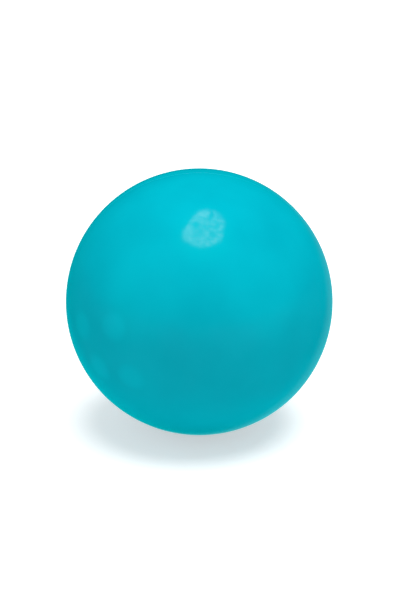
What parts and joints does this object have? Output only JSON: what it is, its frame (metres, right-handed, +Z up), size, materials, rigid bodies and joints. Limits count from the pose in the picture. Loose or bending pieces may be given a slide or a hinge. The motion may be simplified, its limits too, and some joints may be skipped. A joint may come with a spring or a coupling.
{
  "type": "croquet ball",
  "caption": "Smooth glossy turquoise lawn game ball: hard moulded cover cups bonded over a cork and rubber core, struck with a mallet through hoops on grass.",
  "frame": {"origin": "centre of the ball", "axes": "+Z up, +Y along the moulding axis from the front cup's pole to the rear cup's pole, +X to the right as the ball is seen from the front; the seam lies on the plane y = 0"},
  "size_m": [0.092, 0.0922, 0.092],
  "materials": {
    "cover_plastic": "polished, a soft gloss with a faint orange peel",
    "seam_adhesive": "colour-matched adhesive, trimmed and polished with the cover",
    "core_adhesive": "cured amber adhesive",
    "cork_rubber": "matt moulded granules of cork in rubber"
  },
  "bodies": {
    "root": {"cover_front_cup": "cover_plastic", "cover_rear_cup": "cover_plastic", "seam_bond": "seam_adhesive", "core_bond": "core_adhesive", "core": "cork_rubber"}
  },
  "joints": []
}
